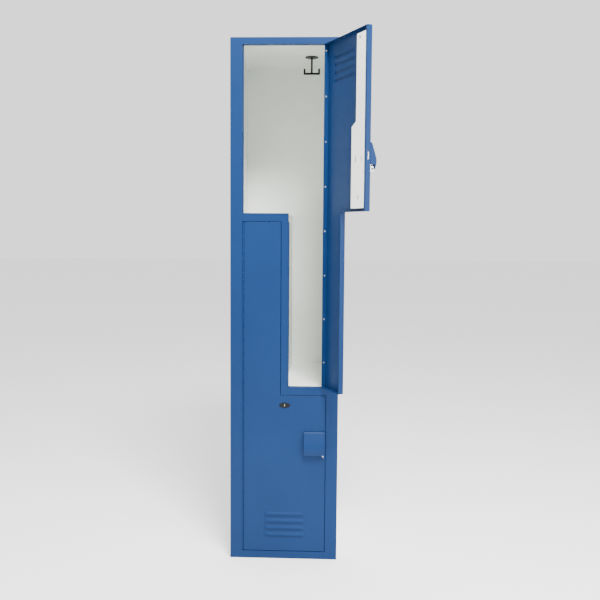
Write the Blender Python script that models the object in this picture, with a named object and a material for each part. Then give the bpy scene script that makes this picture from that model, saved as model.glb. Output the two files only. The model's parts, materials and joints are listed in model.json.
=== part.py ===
"""School locker for two users: one tall sheet-steel cabinet with two L-shaped
compartments that fit round each other, each behind its own L-shaped door.

Metres, +Z up, the front faces -Y. The origin is the middle of the base, on the floor.
The lower door is modelled shut, the upper door stands open on its hinge.
"""
import math

import bpy
import bmesh
from mathutils import Matrix, Vector

# Overall size of the cabinet
WIDTH = 0.381
DEPTH = 0.5334
HEIGHT = 1.8288

# Sheet thicknesses and the air left between pieces
FRAME_SHEET = 0.0015
BODY_SHEET = 0.0008
DOOR_SHEET = 0.0015
FIT = 0.0003
DOOR_GAP = 0.002
SLIDE_GAP = 0.0005

# Front frame
STILE_FACE = 0.042
TOP_RAIL = 0.0235
BOTTOM_RAIL = 0.0265
CROSS_RAIL = 0.0286
MULLION = 0.024
STOP_LIP = 0.003
STOP_GAP = 0.001

# Heights of the two cross rails that divide the compartments, at mid rail
UPPER_RAIL_Z = HEIGHT * 2 / 3
LOWER_RAIL_Z = HEIGHT / 3

# Folded edges of the body sheets
SHEET_FOLD = 0.012
BASE_CHANNEL_WIDTH = 0.060

# Doors: folded pans
DOOR_DEPTH = 0.018
UPPER_DOOR_OPEN = math.radians(117.5)

# Continuous hinge along each door
HINGE_GAP = 0.006
HINGE_SHEET = 0.001
BARREL_RADIUS = 0.0024
PIN_RADIUS = 0.00105
LEAF_DEPTH = 0.016
KNUCKLE_LENGTH = 0.075
KNUCKLE_GAP = 0.0004
HINGE_END = 0.008

# Louvres
LOUVRES = 4
LOUVRE_WIDTH = 0.142
LOUVRE_PITCH = 0.025
LOUVRE_HEIGHT = 0.012
LOUVRE_LIFT = 0.005
LOUVRE_SHEET = 0.0011
LOUVRE_END = 0.058
UPPER_LOUVRE_MIDDLE = 0.115
LOWER_LOUVRE_MIDDLE = 0.148

# Latch channel on the inside of each door
CHANNEL_SHEET = 0.001
CHANNEL_FACE = 0.017
CHANNEL_NARROW = 0.0620
CHANNEL_WIDE = 0.0895
CHANNEL_EDGE = 0.002
CHANNEL_FAR_END = 0.016
CHANNEL_STEP = 0.285
CHANNEL_STEP_RUN = 0.015
CHANNEL_NEAR_END = 0.010

# Handle hood and what works under it
HOOD_MIDDLE = 0.396
HOOD_HEIGHT = 0.083
HOOD_WIDTH = 0.074
HOOD_SHEET = 0.0015
LATCH_TRAVEL = 0.010
LIFT_WIDTH = 0.030
LIFT_SHEET = 0.003
LIFT_REACH = 0.0148
BOLT_SHEET = 0.003
BOLT_HEIGHT = 0.024
BOLT_LENGTH = 0.052
BOLT_DEPTH = 0.0075
BOLT_SET_IN = 0.0028
EYE_SHEET = 0.003
EYE_HOLE = 0.00375

# Number plate
PLATE_LONG = 0.039
PLATE_SHORT = 0.019
PLATE_SHEET = 0.001
PLATE_DROP = 0.035

# Coat hook under each ceiling
HOOK_DISC_RADIUS = 0.025
HOOK_DISC_SHEET = 0.003
HOOK_BAR = 0.007
HOOK_DROP = 0.065
HOOK_REACH = 0.031
HOOK_TIP = 0.022
HOOK_SET_BACK = 0.307
RIVET_RADIUS = 0.0028
RIVET_HEAD_RADIUS = 0.006
RIVET_HEAD = 0.0018

# Planes and lines that several pieces share
SIDE = WIDTH / 2
FRONT = -DEPTH / 2
BACK = DEPTH / 2
JAMB = DOOR_DEPTH + STOP_GAP + FRAME_SHEET
STILE_EDGE = SIDE - STILE_FACE
SIDE_OUTER = SIDE - FRAME_SHEET - FIT
SIDE_INNER = SIDE_OUTER - BODY_SHEET
PANEL_SIDE = SIDE_INNER - FIT
PANEL_FRONT = FRONT + JAMB + FIT
PANEL_BACK = BACK - BODY_SHEET - FIT
PARTITION_SIDE = BODY_SHEET / 2 + FIT
PIN_X = STILE_EDGE - HINGE_GAP / 2
UPPER_RAIL_TOP = UPPER_RAIL_Z + CROSS_RAIL / 2
UPPER_RAIL_BOTTOM = UPPER_RAIL_Z - CROSS_RAIL / 2
LOWER_RAIL_TOP = LOWER_RAIL_Z + CROSS_RAIL / 2
LOWER_RAIL_BOTTOM = LOWER_RAIL_Z - CROSS_RAIL / 2

BLUE = (0.31, 0.45, 0.65)
OFF_WHITE = (0.86, 0.87, 0.84)
BLACK = (0.08, 0.09, 0.09)
ZINC = (0.72, 0.73, 0.74)


def linear(channel):
    """Screen value of one colour channel as the linear value that shaders use."""
    if channel <= 0.04045:
        return channel / 12.92
    return ((channel + 0.055) / 1.055) ** 2.4


def make_material(name, colour, roughness, metallic):
    material = bpy.data.materials.new(name)
    material.use_nodes = True
    shader = material.node_tree.nodes["Principled BSDF"]
    shader.inputs["Base Color"].default_value = [linear(channel) for channel in colour] + [1.0]
    shader.inputs["Roughness"].default_value = roughness
    shader.inputs["Metallic"].default_value = metallic
    return material


def prism(points, axis, low, high):
    """Closed prism: an outline in the two other axes, in X, Y, Z order, drawn out along axis."""
    others = [index for index in range(3) if index != axis]
    mesh = bmesh.new()
    rings = []
    for level in (low, high):
        ring = []
        for point in points:
            place = [0.0, 0.0, 0.0]
            place[others[0]], place[others[1]] = point
            place[axis] = level
            ring.append(mesh.verts.new(place))
        rings.append(ring)
    mesh.faces.new(rings[0])
    mesh.faces.new(rings[1])
    count = len(points)
    for index in range(count):
        after = (index + 1) % count
        mesh.faces.new((rings[0][index], rings[0][after], rings[1][after], rings[1][index]))
    bmesh.ops.recalc_face_normals(mesh, faces=mesh.faces)
    return mesh


def block(low, high):
    """Box between two opposite corners."""
    low_x, high_x = sorted((low[0], high[0]))
    low_y, high_y = sorted((low[1], high[1]))
    corners = [(low_x, low_y), (high_x, low_y), (high_x, high_y), (low_x, high_y)]
    return prism(corners, 2, min(low[2], high[2]), max(low[2], high[2]))


def disc(middle, radius, axis, low, high, sides=24):
    """Round bar along axis; middle is its centre in the two other axes."""
    points = []
    for index in range(sides):
        turn = 2 * math.pi * (index + 0.5) / sides
        points.append((middle[0] + radius * math.cos(turn), middle[1] + radius * math.sin(turn)))
    return prism(points, axis, low, high)


def join(shapes):
    """Several separate shapes in one mesh."""
    whole = bmesh.new()
    for shape in shapes:
        part = bpy.data.meshes.new("shape")
        shape.to_mesh(part)
        shape.free()
        whole.from_mesh(part)
        bpy.data.meshes.remove(part)
    return whole


def link(name, shape):
    mesh = bpy.data.meshes.new(name)
    shape.to_mesh(mesh)
    shape.free()
    thing = bpy.data.objects.new(name, mesh)
    bpy.context.scene.collection.objects.link(thing)
    return thing


def work(thing, shape, operation):
    """Adds a shape to a solid (UNION) or cuts it out (DIFFERENCE)."""
    tool = link("tool", shape)
    modifier = thing.modifiers.new("work", "BOOLEAN")
    modifier.operation = operation
    modifier.solver = "EXACT"
    modifier.object = tool
    graph = bpy.context.evaluated_depsgraph_get()
    worked = bpy.data.meshes.new_from_object(thing.evaluated_get(graph))
    thing.modifiers.clear()
    before = thing.data
    thing.data = worked
    bpy.data.meshes.remove(before)
    bpy.data.objects.remove(tool)


def solid(name, base, finish, add=(), cut=()):
    """One named piece: a base shape, what is added to it and what is cut out of it."""
    thing = link(name, base)
    for shape in add:
        work(thing, shape, "UNION")
    for shape in cut:
        work(thing, shape, "DIFFERENCE")
    thing.data.name = name
    thing.data.materials.clear()
    thing.data.materials.append(make_material(name, *finish))
    return thing


def round_off(thing):
    thing.data.shade_smooth()
    thing.data.set_sharp_from_angle(angle=math.radians(40))


BLUE_PAINT = (BLUE, 0.42, 0.0)
WHITE_PAINT = (OFF_WHITE, 0.45, 0.0)
BLACK_PAINT = (BLACK, 0.5, 0.0)
ZINC_PLATE = (ZINC, 0.35, 1.0)


# Cabinet body -------------------------------------------------------------------------


def side_panels():
    """Flat side sheets; their front edge is lapped by the stile, their back edge by the back."""
    for name, sign in (("side_left", -1), ("side_right", 1)):
        sheet = block((sign * SIDE_OUTER, FRONT + FRAME_SHEET + FIT, 0.0),
                      (sign * SIDE_INNER, PANEL_BACK, HEIGHT))
        solid(name, sheet, WHITE_PAINT)


def back_panel():
    """Back sheet, folded forward round the back edge of both sides."""
    fold = BACK - SHEET_FOLD
    inner = SIDE - BODY_SHEET
    outline = [(-SIDE, fold), (-inner, fold), (-inner, BACK - BODY_SHEET), (inner, BACK - BODY_SHEET),
               (inner, fold), (SIDE, fold), (SIDE, BACK), (-SIDE, BACK)]
    solid("back_panel", prism(outline, 2, 0.0, HEIGHT), WHITE_PAINT)


def flat_tray(name, low_x, high_x, bottom, top, holes=()):
    """Horizontal sheet with its four edges folded down."""
    outer = block((low_x, PANEL_FRONT, bottom), (high_x, PANEL_BACK, top))
    hollow = block((low_x + BODY_SHEET, PANEL_FRONT + BODY_SHEET, bottom - 0.01),
                   (high_x - BODY_SHEET, PANEL_BACK - BODY_SHEET, top - BODY_SHEET))
    return solid(name, outer, WHITE_PAINT, cut=[hollow] + list(holes))


def rivet_hole(x, top):
    return disc((x, hook_y()), RIVET_RADIUS + FIT, 2, top - SHEET_FOLD, top + SHEET_FOLD, 16)


def hook_x():
    """Middle of a narrow doorway, measured from the middle of the cabinet."""
    return (MULLION / 2 + STILE_EDGE) / 2


def hook_y():
    return FRONT + HOOK_SET_BACK


def horizontal_sheets():
    flat_tray("top_panel", -PANEL_SIDE, PANEL_SIDE, HEIGHT - SHEET_FOLD, HEIGHT,
              [rivet_hole(hook_x(), HEIGHT)])
    flat_tray("bottom_panel", -PANEL_SIDE, PANEL_SIDE, 0.0, BOTTOM_RAIL)
    flat_tray("upper_shelf", -PANEL_SIDE, -PARTITION_SIDE, UPPER_RAIL_TOP - SHEET_FOLD, UPPER_RAIL_TOP,
              [rivet_hole(-hook_x(), UPPER_RAIL_TOP)])
    flat_tray("lower_shelf", PARTITION_SIDE, PANEL_SIDE, LOWER_RAIL_TOP - SHEET_FOLD, LOWER_RAIL_TOP)


def base_channel():
    """Anchor channel across the base: it stiffens the bottom sheet and lies on the floor."""
    reach = PANEL_SIDE - BODY_SHEET - FIT
    half = BASE_CHANNEL_WIDTH / 2
    top = BOTTOM_RAIL - BODY_SHEET - FIT
    web = FRAME_SHEET
    outline = [(-half, 0.0), (half, 0.0), (half, top), (half - web, top),
               (half - web, web), (web - half, web), (web - half, top), (-half, top)]
    solid("base_channel", prism(outline, 0, -reach, reach), ZINC_PLATE)


def partition():
    """Upright sheet between the two narrow shafts; its front tongue enters the mullion."""
    tongue = FRONT + FRAME_SHEET + FIT
    outline = [(PANEL_FRONT, LOWER_RAIL_TOP - SHEET_FOLD), (PANEL_BACK, LOWER_RAIL_TOP - SHEET_FOLD),
               (PANEL_BACK, UPPER_RAIL_TOP), (PANEL_FRONT, UPPER_RAIL_TOP),
               (PANEL_FRONT, UPPER_RAIL_BOTTOM - FIT), (tongue, UPPER_RAIL_BOTTOM - FIT),
               (tongue, LOWER_RAIL_TOP + FIT), (PANEL_FRONT, LOWER_RAIL_TOP + FIT)]
    solid("partition", prism(outline, 0, -BODY_SHEET / 2, BODY_SHEET / 2), WHITE_PAINT)


# Front frame --------------------------------------------------------------------------


def stile(name, sign):
    """Upright frame member: its face and the return along the cabinet's side."""
    web = FRAME_SHEET
    section = [(SIDE, 0.0), (STILE_EDGE, 0.0), (STILE_EDGE, web), (SIDE - web, web),
               (SIDE - web, JAMB), (SIDE, JAMB)]
    solid(name, prism([(sign * x, FRONT + y) for x, y in section], 2, 0.0, HEIGHT), BLUE_PAINT)


def jamb(name, sign, lip_low, lip_high, keeper_z):
    """Strike strip welded behind the inner edge of a stile: a lip that stops the shutting edge
    of a door, and a slot that keeps its bolt."""
    web = FRAME_SHEET
    strip = block((sign * STILE_EDGE, FRONT + web + FIT, 0.0),
                  (sign * (STILE_EDGE + web), FRONT + JAMB, HEIGHT))
    lip = block((sign * (STILE_EDGE + web / 2), FRONT + JAMB - web, lip_low + FIT),
                (sign * (STILE_EDGE - STOP_LIP), FRONT + JAMB, lip_high - FIT))
    slot_half = BOLT_SHEET / 2 + 2 * SLIDE_GAP
    slot_reach = BOLT_HEIGHT / 2 + 2 * SLIDE_GAP
    slot = block((sign * (STILE_EDGE - web), FRONT + BOLT_DEPTH - slot_half, keeper_z - slot_reach),
                 (sign * (STILE_EDGE + 2 * web), FRONT + BOLT_DEPTH + slot_half, keeper_z + slot_reach))
    solid(name, strip, BLUE_PAINT, add=[lip], cut=[slot])


def rail(name, low_x, high_x, low_z, high_z):
    """Level frame channel: a face with its four edges folded back."""
    web = FRAME_SHEET
    outer = block((low_x, FRONT, low_z), (high_x, FRONT + JAMB, high_z))
    hollow = block((low_x + web, FRONT + web, low_z + web),
                   (high_x - web, FRONT + 2 * JAMB, high_z - web))
    solid(name, outer, BLUE_PAINT, cut=[hollow])


def mullion():
    """Short upright between the cross rails, with a stop lip on both sides."""
    web = FRAME_SHEET
    half = MULLION / 2
    right = [(half, 0.0), (half, JAMB - web), (half + STOP_LIP, JAMB - web), (half + STOP_LIP, JAMB),
             (half - web, JAMB), (half - web, web)]
    section = right + [(-x, y) for x, y in reversed(right)]
    outline = [(x, FRONT + y) for x, y in section]
    solid("mullion", prism(outline, 2, LOWER_RAIL_TOP + FIT, UPPER_RAIL_BOTTOM - FIT), BLUE_PAINT)


def frame():
    edge = STILE_EDGE - FIT
    stile("stile_left", -1)
    stile("stile_right", 1)
    jamb("jamb_left", -1, UPPER_RAIL_TOP, HEIGHT - TOP_RAIL, UPPER_DOOR["hood_z"])
    jamb("jamb_right", 1, BOTTOM_RAIL, LOWER_RAIL_BOTTOM, LOWER_DOOR["hood_z"])
    rail("rail_top", -edge, edge, HEIGHT - TOP_RAIL, HEIGHT)
    rail("rail_bottom", -edge, edge, 0.0, BOTTOM_RAIL)
    rail("cross_rail_upper", -edge, MULLION / 2, UPPER_RAIL_BOTTOM, UPPER_RAIL_TOP)
    rail("cross_rail_lower", -MULLION / 2, edge, LOWER_RAIL_BOTTOM, LOWER_RAIL_TOP)
    mullion()


# Doors --------------------------------------------------------------------------------
# A door is drawn shut. s runs from the hinge pin towards the free edge, d inwards from the
# front plane, and t from the outer end of the wide half towards the end of the narrow half.


def door_plan(prefix, hinge_sign, end_z, run, shoulder_z, tip_z, louvre_middle):
    """The lines of one door: hinge side, the z where t is 0, its direction and its length."""
    return {"prefix": prefix, "hinge": hinge_sign, "end_z": end_z, "run": run,
            "shoulder": abs(shoulder_z - end_z), "length": abs(tip_z - end_z),
            "louvre_middle": louvre_middle, "hood_z": end_z + run * HOOD_MIDDLE}


UPPER_DOOR = door_plan("upper", 1, HEIGHT - TOP_RAIL - DOOR_GAP, -1, UPPER_RAIL_TOP + DOOR_GAP,
                       LOWER_RAIL_TOP + DOOR_GAP, UPPER_LOUVRE_MIDDLE)
LOWER_DOOR = door_plan("lower", -1, BOTTOM_RAIL + DOOR_GAP, 1, LOWER_RAIL_BOTTOM - DOOR_GAP,
                       UPPER_RAIL_BOTTOM - DOOR_GAP, LOWER_LOUVRE_MIDDLE)

HINGE_EDGE = HINGE_GAP / 2
FREE_EDGE = PIN_X + STILE_EDGE - DOOR_GAP
NECK_EDGE = PIN_X - MULLION / 2 - DOOR_GAP
HOOD_EDGE = FREE_EDGE - 0.0015


def place_x(door, s):
    return door["hinge"] * (PIN_X - s)


def place_z(door, t):
    return door["end_z"] + door["run"] * t


def door_block(door, low, high):
    """Box in door coordinates (s, d, z)."""
    return block((place_x(door, low[0]), FRONT + low[1], low[2]),
                 (place_x(door, high[0]), FRONT + high[1], high[2]))


def door_outline(door, margin):
    """L-shaped outline of the door, all edges moved in by margin."""
    corners = [(HINGE_EDGE + margin, margin), (FREE_EDGE - margin, margin),
               (FREE_EDGE - margin, door["shoulder"] - margin),
               (NECK_EDGE - margin, door["shoulder"] - margin),
               (NECK_EDGE - margin, door["length"] - margin),
               (HINGE_EDGE + margin, door["length"] - margin)]
    return [(place_x(door, s), place_z(door, t)) for s, t in corners]


def louvre_mouths(door):
    """Height of the open lower edge of each louvre."""
    first = door["end_z"] + door["run"] * LOUVRE_END
    return [first + door["run"] * index * LOUVRE_PITCH for index in range(LOUVRES)]


def louvre(door, mouth, shrink, low_d):
    """Wedge that leans outwards from the door and ends in a level mouth."""
    half = LOUVRE_WIDTH / 2 - shrink
    ends = sorted(place_x(door, door["louvre_middle"] + side * half) for side in (-1, 1))
    outline = [(FRONT + low_d, mouth + LOUVRE_HEIGHT - 1.5 * shrink),
               (FRONT, mouth + LOUVRE_HEIGHT - 1.5 * shrink),
               (FRONT - LOUVRE_LIFT + shrink, mouth - (0.001 if shrink else 0.0)),
               (FRONT + low_d, mouth - (0.001 if shrink else 0.0))]
    return prism(outline, 0, ends[0], ends[1])


def lift_levels(door):
    """Heights that the finger lift, its slot and the padlock eye share."""
    base = door["hood_z"] - HOOD_HEIGHT / 2
    blade = base + 0.018
    return {"base": base, "blade": blade, "eye": base + 0.0005}


def lift_span():
    """Left and right edge of the finger lift, measured from the pin."""
    high = HOOD_EDGE - 0.0265
    return high - LIFT_WIDTH, high


def bolt_slot(door, low_s, high_s, gap):
    half = BOLT_SHEET / 2 + gap
    reach = BOLT_HEIGHT / 2 + gap
    return door_block(door, (low_s, BOLT_DEPTH - half, door["hood_z"] - reach),
                      (high_s, BOLT_DEPTH + half, door["hood_z"] + reach))


def door_pan(door):
    """Door sheet with its edges folded in all round, pressed louvres, and slots for the finger
    lift and for the bolt."""
    outer = prism(door_outline(door, 0.0), 1, FRONT, FRONT + DOOR_DEPTH)
    hollow = prism(door_outline(door, DOOR_SHEET), 1, FRONT + DOOR_SHEET, FRONT + 2 * DOOR_DEPTH)
    hoods = join([louvre(door, mouth, 0.0, DOOR_SHEET / 2) for mouth in louvre_mouths(door)])
    mouths = join([louvre(door, mouth, LOUVRE_SHEET, 2 * DOOR_SHEET) for mouth in louvre_mouths(door)])
    low_s, high_s = lift_span()
    levels = lift_levels(door)
    lift_slot = door_block(door, (low_s - SLIDE_GAP, -DOOR_SHEET, levels["blade"] - LATCH_TRAVEL - SLIDE_GAP),
                           (high_s + SLIDE_GAP, 2 * DOOR_SHEET, levels["blade"] + LIFT_SHEET + SLIDE_GAP))
    edge_slot = bolt_slot(door, FREE_EDGE - 2 * DOOR_SHEET, FREE_EDGE + DOOR_SHEET, 2 * SLIDE_GAP)
    return solid(door["prefix"] + "_door", outer, BLUE_PAINT, add=[hoods],
                 cut=[hollow, mouths, lift_slot, edge_slot])


def latch_channel(door):
    """Folded cover that closes in the latch on the inside of the door and stiffens its edge."""
    high_s = FREE_EDGE - DOOR_SHEET - CHANNEL_EDGE
    near = door["shoulder"] - CHANNEL_NEAR_END
    step = CHANNEL_STEP + CHANNEL_STEP_RUN

    def outline(margin):
        narrow = high_s - CHANNEL_NARROW + margin
        wide = high_s - CHANNEL_WIDE + margin
        corners = [(narrow, CHANNEL_FAR_END + margin), (high_s - margin, CHANNEL_FAR_END + margin),
                   (high_s - margin, near - margin), (wide, near - margin),
                   (wide, step + margin / 2), (narrow, CHANNEL_STEP + margin / 2)]
        return [(place_x(door, s), place_z(door, t)) for s, t in corners]

    outer = prism(outline(0.0), 1, FRONT + DOOR_SHEET + FIT, FRONT + CHANNEL_FACE)
    hollow = prism(outline(CHANNEL_SHEET), 1, FRONT, FRONT + CHANNEL_FACE - CHANNEL_SHEET)
    slots = []
    for s, z, height in ((high_s - 0.0265, door["hood_z"] - 0.008, 0.018),
                         (high_s - 0.0625, door["hood_z"] - 0.008, 0.018),
                         (high_s - 0.0445, door["hood_z"] + door["run"] * 0.128, 0.012)):
        slots.append(door_block(door, (s - 0.0025, CHANNEL_FACE - 2 * CHANNEL_SHEET, z - height / 2),
                                (s + 0.0025, CHANNEL_FACE + CHANNEL_SHEET, z + height / 2)))
    hole = disc((place_x(door, high_s - 0.044), place_z(door, CHANNEL_FAR_END + 0.013)), 0.005, 1,
                FRONT + CHANNEL_FACE - 2 * CHANNEL_SHEET, FRONT + CHANNEL_FACE + CHANNEL_SHEET, 16)
    passage = bolt_slot(door, high_s - 2 * CHANNEL_SHEET, high_s + CHANNEL_SHEET, SLIDE_GAP)
    return solid(door["prefix"] + "_latch_channel", outer, WHITE_PAINT,
                 cut=[hollow, join(slots + [hole]), passage])


def hood(door):
    """Handle hood: it bulges out over the finger lift, is open below and towards the door,
    and its front lip curls in under the opening."""
    top = door["hood_z"] + HOOD_HEIGHT / 2
    wall = HOOD_SHEET
    skin = -FIT
    front = [(0.0015, 0.0), (0.006, 0.003), (0.0175, 0.034), (0.0225, 0.052), (0.0232, 0.061),
             (0.0208, 0.073), (0.0175, 0.081), (0.0175, HOOD_HEIGHT)]
    outer = [(FRONT + skin - out, top - down) for out, down in front]
    outer += [(FRONT + skin, top - HOOD_HEIGHT), (FRONT + skin, top)]
    inner = [(0.0, wall), (0.0045, 0.0045), (0.016, 0.0345), (0.021, 0.0525), (0.0217, 0.061),
             (0.0194, 0.0725), (0.016, 0.0805), (0.016, 2 * HOOD_HEIGHT), (-0.01, 2 * HOOD_HEIGHT),
             (-0.01, wall)]
    hollow = [(FRONT + skin - out, top - down) for out, down in inner]
    under = [(0.0217, 0.068), (0.0194, 0.0725), (0.016, 0.0805), (0.016, 2 * HOOD_HEIGHT),
             (-0.01, 2 * HOOD_HEIGHT), (-0.01, 0.068)]
    mouth = [(FRONT + skin - out, top - down) for out, down in under]
    ends = sorted((place_x(door, HOOD_EDGE - HOOD_WIDTH), place_x(door, HOOD_EDGE)))
    shell = prism(outer, 0, ends[0], ends[1])
    cuts = [prism(hollow, 0, ends[0] + wall, ends[1] - wall), prism(mouth, 0, ends[0] - wall, ends[1] + wall)]
    return solid(door["prefix"] + "_hood", shell, BLUE_PAINT, cut=cuts)


def finger_lift(door):
    """Lever plate behind the door sheet with a blade out under the hood and a padlock ear."""
    low_s, high_s = lift_span()
    levels = lift_levels(door)
    blade = levels["blade"]
    ear = HOOD_EDGE - 0.0080
    plate = door_block(door, (low_s, DOOR_SHEET + SLIDE_GAP, blade - 0.012),
                       (high_s, DOOR_SHEET + SLIDE_GAP + 0.002, blade + 0.018))
    tongue = door_block(door, (low_s, DOOR_SHEET + SLIDE_GAP + 0.001, blade),
                        (high_s, -LIFT_REACH, blade + LIFT_SHEET))
    arm = door_block(door, (high_s - 0.002, -0.004, blade), (ear, -LIFT_REACH, blade + LIFT_SHEET))
    drop = door_block(door, (ear - 0.0025, -0.004, blade - 0.0135),
                      (ear, -LIFT_REACH, blade + LIFT_SHEET))
    eye_d = -(0.004 + LIFT_REACH) / 2
    hole_z = levels["eye"] + LATCH_TRAVEL
    ends = sorted((place_x(door, ear - 0.004), place_x(door, ear + 0.001)))
    hole = disc((FRONT + eye_d, hole_z), EYE_HOLE, 0, ends[0], ends[1], 16)
    return solid(door["prefix"] + "_finger_lift", plate, ZINC_PLATE, add=[tongue, arm, drop], cut=[hole])


def padlock_eye(door):
    """Fixed eye on the door beside the lift: a padlock through both holds the lift down."""
    levels = lift_levels(door)
    outer_s = HOOD_EDGE - 0.0040
    low_z = levels["eye"] - 0.0075
    high_z = levels["eye"] + 0.0095
    foot = door_block(door, (lift_span()[1] + 0.002, -FIT, low_z), (outer_s, -FIT - 0.002, high_z))
    plate = door_block(door, (outer_s - EYE_SHEET, -FIT, low_z), (outer_s, -LIFT_REACH, high_z))
    eye_d = -(0.004 + LIFT_REACH) / 2
    ends = sorted((place_x(door, outer_s - EYE_SHEET - 0.0005), place_x(door, outer_s + 0.001)))
    hole = disc((FRONT + eye_d, levels["eye"]), EYE_HOLE, 0, ends[0], ends[1], 16)
    return solid(door["prefix"] + "_padlock_eye", foot, ZINC_PLATE, add=[plate], cut=[hole])


def bolt(door):
    """Flat bolt behind the hood, drawn back inside the door's folded edge when the lift is up."""
    tip = FREE_EDGE - BOLT_SET_IN
    body = door_block(door, (tip - BOLT_LENGTH, BOLT_DEPTH - BOLT_SHEET / 2, door["hood_z"] - BOLT_HEIGHT / 2),
                      (tip, BOLT_DEPTH + BOLT_SHEET / 2, door["hood_z"] + BOLT_HEIGHT / 2))
    return solid(door["prefix"] + "_bolt", body, ZINC_PLATE)


def number_plate(door):
    """Oval plate on the face of the door, near the shoulder of its wide half."""
    middle = (place_x(door, (HINGE_EDGE + FREE_EDGE) / 2), place_z(door, door["shoulder"] - PLATE_DROP))
    outline = []
    for index in range(32):
        turn = 2 * math.pi * index / 32
        outline.append((middle[0] + PLATE_LONG / 2 * math.cos(turn),
                        middle[1] + PLATE_SHORT / 2 * math.sin(turn)))
    plate = solid(door["prefix"] + "_number_plate",
                  prism(outline, 1, FRONT - FIT - PLATE_SHEET, FRONT - FIT), BLACK_PAINT)
    round_off(plate)
    return plate


# Hinges -------------------------------------------------------------------------------


def knuckle_spans(door):
    """Heights of the knuckles from end to end; the frame has the first, third and so on."""
    ends = sorted((place_z(door, HINGE_END), place_z(door, door["length"] - HINGE_END)))
    count = 2 * int((ends[1] - ends[0]) / (2 * KNUCKLE_LENGTH)) + 1
    pitch = (ends[1] - ends[0]) / count
    spans = []
    for index in range(count):
        low = ends[0] + index * pitch + KNUCKLE_GAP / 2
        spans.append((low, low + pitch - KNUCKLE_GAP))
    return spans


def hinge_leaf(door, name, side, spans, ends):
    """One leaf: a long strip, and a knuckle round the pin at each of its spans."""
    near = side * (HINGE_EDGE - FIT)
    far = side * (HINGE_EDGE - FIT - HINGE_SHEET)
    start = BARREL_RADIUS + 0.0004
    strip = door_block(door, (near, start, ends[0]), (far, LEAF_DEPTH, ends[1]))
    middle = (place_x(door, 0.0), FRONT)
    tabs = [door_block(door, (near, 0.0, low), (far, start + 0.001, high)) for low, high in spans]
    barrels = [disc(middle, BARREL_RADIUS, 2, low, high, 12) for low, high in spans]
    bore = disc(middle, PIN_RADIUS + FIT, 2, ends[0] - 0.01, ends[1] + 0.01, 12)
    leaf = solid(name, strip, BLUE_PAINT, add=[join(tabs), join(barrels)], cut=[bore])
    round_off(leaf)
    return leaf


def hinge(door):
    """Continuous hinge: a leaf on the jamb, a leaf on the door and the pin through both."""
    spans = knuckle_spans(door)
    ends = (spans[0][0], spans[-1][1])
    hinge_leaf(door, door["prefix"] + "_hinge_frame_leaf", -1, spans[0::2], ends)
    door_leaf = hinge_leaf(door, door["prefix"] + "_hinge_door_leaf", 1, spans[1::2], ends)
    pin = solid(door["prefix"] + "_hinge_pin",
                disc((place_x(door, 0.0), FRONT), PIN_RADIUS, 2, ends[0], ends[1], 12), ZINC_PLATE)
    round_off(pin)
    return door_leaf


def build_door(door):
    hinged = [door_pan(door), latch_channel(door), hood(door), finger_lift(door), padlock_eye(door),
              bolt(door), number_plate(door), hinge(door)]
    pivot = bpy.data.objects.new(door["prefix"] + "_door_pivot", None)
    bpy.context.scene.collection.objects.link(pivot)
    axis = Vector((place_x(door, 0.0), FRONT, 0.0))
    pivot.location = axis
    for thing in hinged:
        thing.data.transform(Matrix.Translation(-axis))
        thing.parent = pivot
    return pivot


# Coat hooks ---------------------------------------------------------------------------


def coat_hook(prefix, x, ceiling, sheet_top):
    """Double-prong hook on a round foot under a ceiling sheet, with the rivet that holds it."""
    foot_top = ceiling - FIT
    foot = disc((x, hook_y()), HOOK_DISC_RADIUS, 2, foot_top - HOOK_DISC_SHEET, foot_top, 32)
    half = HOOK_BAR / 2
    low = foot_top - HOOK_DROP
    right = [(half, foot_top - HOOK_DISC_SHEET / 2), (half, low + HOOK_BAR),
             (HOOK_REACH - HOOK_BAR, low + HOOK_BAR), (HOOK_REACH - HOOK_BAR, low + HOOK_TIP),
             (HOOK_REACH, low + HOOK_TIP), (HOOK_REACH, low + half / 2), (HOOK_REACH - half / 2, low)]
    section = right + [(-offset, level) for offset, level in reversed(right)]
    prongs = prism([(x + offset, level) for offset, level in section], 1, hook_y() - half, hook_y() + half)
    hook = solid(prefix + "_coat_hook", foot, BLACK_PAINT, add=[prongs])
    round_off(hook)
    head = disc((x, hook_y()), RIVET_HEAD_RADIUS, 2, sheet_top + FIT, sheet_top + FIT + RIVET_HEAD, 16)
    shank = disc((x, hook_y()), RIVET_RADIUS, 2, foot_top + FIT / 2, sheet_top + RIVET_HEAD, 16)
    rivet = solid(prefix + "_hook_rivet", head, ZINC_PLATE, add=[shank])
    round_off(rivet)


def build():
    for thing in list(bpy.data.objects):
        bpy.data.objects.remove(thing)
    side_panels()
    back_panel()
    horizontal_sheets()
    base_channel()
    partition()
    frame()
    upper_pivot = build_door(UPPER_DOOR)
    upper_pivot.rotation_euler = (0.0, 0.0, UPPER_DOOR_OPEN)
    build_door(LOWER_DOOR)
    coat_hook("upper", hook_x(), HEIGHT - BODY_SHEET, HEIGHT)
    coat_hook("lower", -hook_x(), UPPER_RAIL_TOP - BODY_SHEET, UPPER_RAIL_TOP)


build()
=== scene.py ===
"""School locker for two users: tall sheet-steel cabinet, interlocking L-shaped compartments, an open
upper door and a shut lower door. Metres, +Z up, the front faces -Y."""
import json
import math

import bmesh
import bpy
from mathutils import Matrix, Vector

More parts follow.
